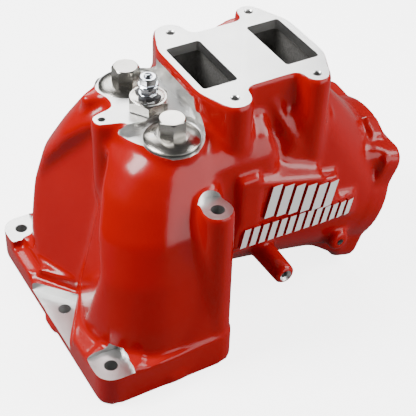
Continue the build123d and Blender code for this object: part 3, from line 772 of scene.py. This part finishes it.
gas_flange = moved(
    prism([(-27, 0, 10.5), (0, 0, 19), (27, 0, 10.5)], 0, 12),
    Matrix.Translation((gas_x, gas_y - 10.5, gas_z)) @ Matrix.Rotation(math.radians(-90), 4, "X"),
)
bulb_block = moved(
    block((-6.5, -5, -9), (6.5, 5, 4), 1.2),
    Matrix.Translation((139, -36, 141)) @ Matrix.Rotation(math.radians(30), 4, "X"),
)
side_tab = block((-51.5, -10, 0.5), (-48, 4, 5.5))
front_tab = block((-2, -89.3, 0.5), (8, -86, 8))
firm_parts = corner_lands + [
    base, lug_square, rim, rim_tab, boss, sensor_boss, sensor_fin,
    gas_flange, bulb_block, side_tab, front_tab,
]
print("firm patterns:", len(firm_parts))

# %% [markdown]
# The panel's front is flat over the shoulder and bends back with the bulb. Its upper part has a
# stepped ledge along the top, where the mould was parted.

# %% Side panel
def panel_y(x):
    """The panel's front: flat, then bending back to the right."""
    return -60.0 + 4.5 * max(0.0, (x - 124) / 36) ** 1.6


def plate(stations, depth):
    """A plate between stations of (x, low z, high z) whose front follows panel_y."""
    slabs = []
    for start, end in zip(stations, stations[1:]):
        slabs.append(hull_of(points=[
            (x, panel_y(x) + back, z)
            for x, low, high in (start, end) for z in (low, high) for back in (0.0, depth)
        ]))
    return slabs


lower_row = ((60.5, 69.5, 91), (124, 66.5, 87), (140, 65, 84), (161, 61, 80))
upper_row = ((76, 88, 122.5), (124, 80, 107), (134, 79, 105), (143, 78, 103))
panel_parts = plate(lower_row, 24) + plate(upper_row, 22)
panel_parts.append(hull_of(points=[
    (x, y, z) for x in (62.5, 78) for y, z in ((-61.5, 86), (-61.5, 127), (-54, 131), (-40, 133), (-36, 86))
]))
panel_parts.append(hull_of(points=[
    (x, y, z - 0.28 * (x - 79))
    for x in (77, 128) for y, z in ((-61.5, 119), (-61.5, 122), (-46, 130), (-40, 112))
]))
casting = gathered("casting", [taken(soft_body)] + firm_parts + panel_parts, red_coat)
pocket_recess = hull_of(points=[
    (x, y, z) for z in (17, 45)
    for x, y in ((-64, 47), (-64, -50), (-50, -42), (-39, -22), (-28, -3), (-24, 3), (-46, 33))
])
melted(casting, 1.6, 2)
rim_recess = block((-60, 30, 19.5), (-40, 63.5, 32), 2)
cut_away(casting, [pocket_recess], red_coat)
cut_away(casting, [rim_recess], red_coat)
melted(casting, 1.72, 3)

# %% [markdown]
# The panel carries two rows of plain slanted bars, raised by two millimetres. Their faces are
# wiped with white enamel.

# %% Raised bars
bar_relief, bar_lean = 2.0, 0.22


def bar_row(stations, count, width, margin):
    """Slanted bars spread along a plate's stations."""
    bars = []
    first, last = stations[0][0] + 4, stations[-1][0] - 4
    for number in range(count):
        x = first + (last - first) * (number + 0.5) / count
        start, end = next(pair for pair in zip(stations, stations[1:]) if pair[1][0] >= x)
        share = (x - start[0]) / (end[0] - start[0])
        low = start[1] + (end[1] - start[1]) * share + margin
        high = start[2] + (end[2] - start[2]) * share - margin
        slant = bar_lean * (high - low) / 2
        bars.append(hull_of(points=[
            (x + side * width / 2 + lean, panel_y(x + side * width / 2) + back, z)
            for side in (-1, 1) for z, lean in ((low, -slant), (high, slant)) for back in (-bar_relief, 6.0)
        ]))
    return bars


upper_bar_stations = ((79, 92, 121), (124, 83, 106), (143, 79.5, 103))
for row in (bar_row(lower_row, 13, 4.6, 3.2), bar_row(upper_bar_stations, 6, 7.0, 1.5)):
    bars = gathered("bars", row, red_coat)
    join = casting.modifiers.new("join", "BOOLEAN")
    join.operation = "UNION"
    join.object = bars
    join.solver = "MANIFOLD"
    applied(casting)
    bpy.data.objects.remove(bars)
print("casting with bars:", len(casting.data.polygons), "faces")

# %% [markdown]
# ## Inside passages
# The core that shapes the inside is melted too, so its corners are round. It leaves raw grey
# aluminium behind, because the inside is never painted.

# %% Cast passages
inner_levels = [(34, -38.5, 83, 41)] + list(hood_levels[2:7])
inner_hood = gathered("inner_hood", [hood_shape(7.0, inner_levels)], cast_aluminium)
cut_away(inner_hood, [fold_shape(8.0)], cast_aluminium)
post_walls = [cylinder((corner_bolt_x, side * corner_bolt_y, 70), 18.5, 70) for side in (-1, 1)]
cut_away(inner_hood, post_walls, cast_aluminium)
core_parts = [taken(inner_hood)]
core_parts.append(prism([(x, y, 16) for x in (-2, 2) for y in (-51, 51)], -6, 36))
core_parts += [
    hull_of(rings=[duct_ring(a, 46.0 - 2 * a), duct_ring(b, 46.0 - 2 * b)])
    for a, b in zip(duct_steps, duct_steps[1:])
]
inlet_axis = inlet_frame.to_3x3() @ Vector((0, 0, 1))
core_parts.append(cylinder(inlet_centre - Vector((10, 0, -3)), inlet_bore, 30, axis=inlet_axis))
near_middle, far_middle = valve_x - port_x, valve_x + port_x
for middle, foot in ((near_middle, 108), (far_middle, 137)):
    core_parts.append(block(
        (middle - port_half_width - 1.5, -port_half_length - 1.5, foot),
        (middle + port_half_width + 1.5, port_half_length + 1.5, valve_z - 7), 4,
    ))
core_parts.append(cylinder((gas_x, 0, gas_z), 14.0, gas_y + 8, axis=(0, 1, 0)))
core = gathered("core", core_parts, cast_aluminium)
melted(core, 2.4, 3)
hollow = casting.modifiers.new("hollow", "BOOLEAN")
hollow.operation = "DIFFERENCE"
hollow.object = core
hollow.solver = "MANIFOLD"
hollow.material_mode = "TRANSFER"
applied(casting)
bpy.data.objects.remove(core)
print("hollow casting:", len(casting.data.polygons), "faces")

# %% [markdown]
# ## Milling and drilling
# Each cutter is the volume that a tool sweeps. The seats in the roof lie lower than the pad
# round the terminal, and the corner spot faces bite into the foot of the hood.

# %% Milled faces
valve_cut = block((20, -90, valve_z), (175, 90, valve_z + 20))
port_rims = [
    block(
        (middle - port_half_width, -port_half_length, valve_z - 9),
        (middle + port_half_width, port_half_length, valve_z + 9), 2.5,
    )
    for middle in (near_middle, far_middle)
]
inlet_cut = in_inlet_plane(block((-90, -90, 0), (90, 90, 12)))
inlet_rim = in_inlet_plane(cylinder((0, 0, -7), inlet_bore, 12, segments=96))
pad_cut = prism(
    [(ear_x, 0, 10), (16, 0, 19), (28, -30, 20), (27.5, 29, 21), (30, 0, 17.5)], pad_z, pad_z + 14
)
gas_cut = block((gas_x - 45, gas_y, gas_z - 26), (gas_x + 45, gas_y + 12, gas_z + 26))
front_sleeve_cut = prism(
    [(corner_bolt_x, -corner_bolt_y, 13.0), (corner_bolt_x, -corner_bolt_y - 4, 12)],
    front_sleeve_z, front_sleeve_z + 22,
)
rear_sleeve_cut = cylinder((corner_bolt_x, corner_bolt_y, rear_sleeve_z), 13.0, 16)
foot_cut = block((-70, -110, -8), (70, 110, 0))
outer_cuts = [valve_cut, inlet_cut, gas_cut, front_sleeve_cut, rear_sleeve_cut, foot_cut]
cut_away(casting, outer_cuts, milled_aluminium)
cut_away(casting, port_rims + [inlet_rim, pad_cut], milled_aluminium)

# %% [markdown]
# The plug seats are round pockets, the corner spot faces are squared off with an end mill, and a
# tapered cutter scallops the foot of the hood where the bolt heads need room.

# %% Seats, spot faces and the side pocket
seats = [cylinder((pad_x, side * plug_y, seat_z), 20.4, 12, segments=72) for side in (-1, 1)]
cut_away(casting, seats, milled_aluminium)
shelf_cut = prism(
    [(3, -12.5, 1.5), (9, -28, 2.5), (15, -38, 5), (pad_x - 3, -plug_y, 17), (20, -16.5, 2)],
    seat_z, seat_z + 12,
)
corner_cuts = [
    block((-54, side * 78 - 15, base_thickness), (-26.5, side * 78 + 15, base_thickness + 7), 1.5)
    for side in (-1, 1)
]
cut_away(casting, [shelf_cut] + corner_cuts, milled_aluminium)
scallop_taper = ((base_thickness + 0.04, 12.4), (30, 11.8), (41, 4.0))
scallops = [
    hull_of(discs=[(-corner_bolt_x, side * corner_bolt_y, z, radius) for z, radius in scallop_taper])
    for side in (-1, 1)
]
cut_away(casting, scallops, milled_aluminium)
pocket_low = hull_of(points=[
    (x, y, z) for z in (9, 20.5) for x, y in ((-62, 37), (-62, -45), (-49.5, 28), (-26.5, 1), (-49.5, -36))
])
cut_away(casting, [pocket_low], milled_aluminium)

# %% [markdown]
# The base bolts pass through, and everything else is a tapping drill: 5 mm for the M6 threads
# and 6.8 mm for the M8 ones.

# %% Drilled holes
small_tap, large_tap = 2.5, 3.4
drills = [
    cylinder((x, y, -4), bolt_hole, 150 if x > 0 else 45, segments=40)
    for x in (-corner_bolt_x, corner_bolt_x) for y in (-corner_bolt_y, corner_bolt_y)
]
drills.append(cylinder((-corner_bolt_x, 0, -4), bolt_hole, 20, segments=40))
drills += [
    cylinder((valve_x + u * valve_bolt_x, v * valve_bolt_y, valve_z - 14), small_tap, 20, segments=32)
    for u in (-1, 1) for v in (-1, 1)
]
drills += [
    in_inlet_plane(cylinder((u * inlet_bolt, v * inlet_bolt, -11), large_tap, 16, segments=32))
    for u in (-1, 1) for v in (-1, 1)
]
drills += [
    cylinder((gas_x + u * 27, gas_y - 14, gas_z), large_tap, 20, axis=(0, 1, 0), segments=32) for u in (-1, 1)
]
drills.append(cylinder((ear_x, 0, pad_z - 12), small_tap, 20, segments=32))
drills.append(cylinder((boss_x, boss_end_y - 4, boss_z), small_tap, 18, axis=(0, 1, 0), segments=32))
drills.append(cylinder((sensor_x, -60, sensor_z), small_tap, 16, axis=(0, 1, 0), segments=32))
drills += [cylinder((pad_x, y, 120), 10.0, 60, segments=48) for y in (-plug_y, 0, plug_y)]
cut_away(casting, drills, milled_aluminium)
cone_tip = small_tap - 0.1
countersinks = [
    cylinder((boss_x, boss_end_y - 1.2, boss_z), 4.6, 2.0, axis=(0, 1, 0), top_radius=cone_tip, segments=32)
]
countersinks += [
    cylinder(
        (valve_x + u * valve_bolt_x, v * valve_bolt_y, valve_z - 0.7),
        cone_tip, 1.4, top_radius=3.8, segments=32,
    )
    for u in (-1, 1) for v in (-1, 1)
]
cut_away(casting, countersinks, milled_aluminium)
print("casting finishes:", [finish.name for finish in casting.data.materials])

# %% [markdown]
# The skin is shaded smooth, but it stays sharp where a cutter has passed. Those edges are found
# by the change of finish across them and by their angle.

# %% Sharp milled edges and hand-over to the shared frame


def enamelled(piece, finish):
    """Paints the front faces of the raised bars."""
    piece.data.materials.append(finish)
    index = len(piece.data.materials) - 1
    for face in piece.data.polygons:
        x, y, z = face.center
        if 58 < x < 165 and 60 < z < 125 and face.normal.y < -0.9 and y < panel_y(x) - 0.8 * bar_relief:
            face.material_index = index


def edged(piece, angle):
    """Smooth shading with sharp edges at every finish border and steep angle."""
    bm = bmesh.new()
    bm.from_mesh(piece.data)
    for face in bm.faces:
        face.smooth = True
    for edge in bm.edges:
        if len(edge.link_faces) == 2:
            one, two = edge.link_faces
            border = one.material_index != two.material_index
            edge.smooth = not (border or edge.calc_face_angle(0.0) > angle)
    bm.to_mesh(piece.data)
    bm.free()


def placed(piece, node):
    """Scales a piece from millimetres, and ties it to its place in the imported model."""
    piece.data.transform(Matrix.Scale(MM, 4))
    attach(piece, "root")
    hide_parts(node)


enamelled(casting, white_enamel)
edged(casting, math.radians(38))
placed(casting, "manifold_casting")
casting.data.calc_loop_triangles()
print("casting triangles:", len(casting.data.loop_triangles))
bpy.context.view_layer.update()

# %% [markdown]
# ## Heater hardware
# Two heater plugs and the power terminal stand on the roof. The top of each hexagon is turned to
# a shallow cone, which cuts its corners, and the stud and the plug shanks carry a fine thread.

# %% Turned and hexagonal shapes
cone_slope = math.tan(math.radians(32))
cone_inset = 0.25


def around(x, y, z, radius, angle):
    """A point at an angle round an upright axis."""
    return x + radius * math.cos(angle), y + radius * math.sin(angle), z


def banded(bm, rings):
    """Joins each ring of points to the next one with a band of faces."""
    for ring, following in zip(rings, rings[1:]):
        for n, point in enumerate(ring):
            m = (n + 1) % len(ring)
            bm.faces.new((point, ring[m], following[m], following[n]))
    return bm


def turned(profile, x, y, segments=72):
    """A ring turned about an upright axis from a closed profile of (radius, z)."""
    bm = bmesh.new()
    rings = [
        [bm.verts.new(around(x, y, z, radius, math.tau * n / segments)) for n in range(segments)]
        for radius, z in profile
    ]
    return banded(bm, rings + rings[:1])


def hexagon(x, y, low, high, flats, turn, bore, segments=72):
    """A hexagon prism with a bore, its top corners cut by a shallow cone."""
    bm = bmesh.new()
    top = flats / 2 - cone_inset
    rings = [[], [], [], [], []]
    for n in range(segments):
        angle = math.tau * n / segments
        off_flat = (angle + math.pi / 6) % (math.pi / 3) - math.pi / 6
        side = flats / 2 / math.cos(off_flat)
        cone = high - (side - top) * cone_slope
        levels = ((side, low), (side, cone), (top, high), (bore, high), (bore, low))
        for ring, (radius, z) in zip(rings, levels):
            ring.append(bm.verts.new(around(x, y, z, radius, angle + turn + math.pi / 6)))
    return banded(bm, rings + rings[:1])


def threaded(x, y, low, high, radius, pitch, depth, segments=40):
    """A closed rod with a helical thread, which runs out in a cone at each end."""
    bm = bmesh.new()
    count = int((high - low) / pitch * 5)
    rings = []
    for level in range(count + 1):
        z = low + (high - low) * level / count
        run_out = max(0.0, 1.0 - min(z - low, high - z) / 0.9)
        ring = []
        for n in range(segments):
            phase = (z / pitch - n / segments) % 1.0
            groove = depth * (1.0 - abs(2.0 * phase - 1.0))
            reach = radius - max(groove, depth * 1.6 * run_out)
            ring.append(bm.verts.new(around(x, y, z, reach, math.tau * n / segments)))
        rings.append(ring)
    banded(bm, rings)
    bm.faces.new(rings[0])
    bm.faces.new(rings[-1])
    return bm


def fitting(node, finish, shapes, angle=32):
    """Gathers shapes into the piece that stands for one CAD node."""
    piece = gathered(node + "_visual", shapes, finish)
    edged(piece, math.radians(angle))
    placed(piece, node)
    print(piece.name, len(piece.data.polygons), "faces")
    return piece


# %% [markdown]
# A plug's flange is a shallow cone with a rolled rim, and it clamps a rubber ring in a groove.

# %% Heater plugs and their seals
seal_proud = 0.8
plug_base, plug_hex = seat_z + seal_proud, seat_z + 4.8
plug_turns = {"front": math.radians(8), "rear": math.radians(34)}
for name, y in (("front", -plug_y), ("rear", plug_y)):
    flange = turned([
        (radius, plug_base + height) for radius, height in (
            (4.0, 0), (15.0, 0), (15.0, 1.0), (16.6, 1.0), (16.6, 0), (17.7, 0), (18.0, 0.3), (18.0, 1.5),
            (17.6, 1.9), (13.2, 3.4), (11.2, 3.9), (10.6, 4.0), (4.0, 4.0),
        )
    ], pad_x, y)
    head = hexagon(pad_x, y, plug_hex - 0.2, plug_hex + 12.0, 16.0, plug_turns[name], 2.0)
    crown = cylinder((pad_x, y, plug_hex + 11.2), 2.6, 0.7, top_radius=2.4, segments=32)
    shank = threaded(pad_x, y, plug_base - 14.0, plug_base + 0.6, 9.8, 1.5, 0.7, 64)
    fitting(name + "_heater_plug", stainless, [flange, head, crown, shank])
    seal = turned([
        (radius, seat_z + 1.0 + height) for radius, height in (
            (15.2, -0.6), (15.6, -0.95), (16.4, -0.95), (16.8, -0.5),
            (16.8, 0.5), (16.4, 0.95), (15.6, 0.95), (15.2, 0.5),
        )
    ], pad_x, y)
    fitting(name + "_plug_o_ring", rubber, [seal], 60)

# %% [markdown]
# The terminal is a stack on one stud: hexagonal body, cross-shaped insulator, washer, clamp nut
# and, above a gap for the cable's eye, a flanged nut.

# %% Terminal body, insulator, nuts and stud
body_low, body_high = pad_z + seal_proud, pad_z + 7.8
body_head = hexagon(pad_x, 0, body_low, body_high, 24.0, math.radians(4), 5.2)
body_collar = turned([
    (5.2, body_high - 0.3), (10.6, body_high - 0.3), (10.6, body_high + 0.15),
    (10.2, body_high + 0.3), (5.2, body_high + 0.3),
], pad_x, 0)
body_shank = turned([
    (5.2, pad_z - 17.5), (8.6, pad_z - 17.5), (9.4, pad_z - 16.7),
    (9.4, body_low + 0.3), (5.2, body_low + 0.3),
], pad_x, 0)
fitting("terminal_body", stainless, [body_head, body_collar, body_shank])
fitting("terminal_o_ring", rubber, [turned([
    (9.5, pad_z), (11.6, pad_z), (11.9, pad_z + 0.4), (11.9, pad_z + 0.7), (9.5, pad_z + 0.7),
], pad_x, 0)], 60)
insulator_arms = [
    moved(block((-8.5, -2.5, body_high), (8.5, 2.5, body_high + 2.0), 0.8),
          Matrix.Translation((pad_x, 0, 0)) @ Matrix.Rotation(math.radians(angle), 4, "Z"))
    for angle in (30, 120)
]
insulator_disc = turned([
    (3.0, body_high - 6), (4.9, body_high - 6), (4.9, body_high), (6.4, body_high), (6.4, body_high + 1.7),
    (6.0, body_high + 2.0), (3.0, body_high + 2.0),
], pad_x, 0)
fitting("terminal_insulator", black_plastic, insulator_arms + [insulator_disc])
washer_low = body_high + 2.0
fitting("terminal_washer", zinc, [turned([
    (3.0, washer_low), (5.8, washer_low), (6.0, washer_low + 0.2),
    (6.0, washer_low + 0.8), (5.8, washer_low + 1.0), (3.0, washer_low + 1.0),
], pad_x, 0)])
clamp_low = washer_low + 1.0
fitting("terminal_clamp_nut", zinc, [
    hexagon(pad_x, 0, clamp_low, clamp_low + 4.0, 10.0, math.radians(12), 2.9),
])
cable_low = clamp_low + 5.0
fitting("terminal_cable_nut", zinc, [
    turned([
        (2.9, cable_low), (6.5, cable_low), (6.8, cable_low + 0.3), (6.8, cable_low + 0.9),
        (6.3, cable_low + 1.4), (5.4, cable_low + 1.6), (2.9, cable_low + 1.6),
    ], pad_x, 0),
    hexagon(pad_x, 0, cable_low + 1.4, cable_low + 6.5, 10.0, math.radians(-6), 2.9),
])
fitting("terminal_stud", zinc, [threaded(pad_x, 0, 82.0, 183.5, 3.0, 1.0, 0.42)], 60)

# %% [markdown]
# The pieces inside the plenum keep the shape that they have in model.glb, and take their finishes
# here: ceramic rods, heat-darkened wire, a copper strap and zinc plated screws.

# %% Finishes for the pieces inside
inside_finishes = {
    "inner_insulator": ceramic, "front_coil_former": ceramic, "rear_coil_former": ceramic,
    "front_heater_coil": wire_metal, "rear_heater_coil": wire_metal,
    "bus_bar": copper, "bus_bar_nut": zinc, "coil_end_screws": zinc,
}
for node, finish in inside_finishes.items():
    shown = bpy.data.objects[node]
    shown.data.materials.clear()
    shown.data.materials.append(finish)
    print(node, "takes", finish.name)
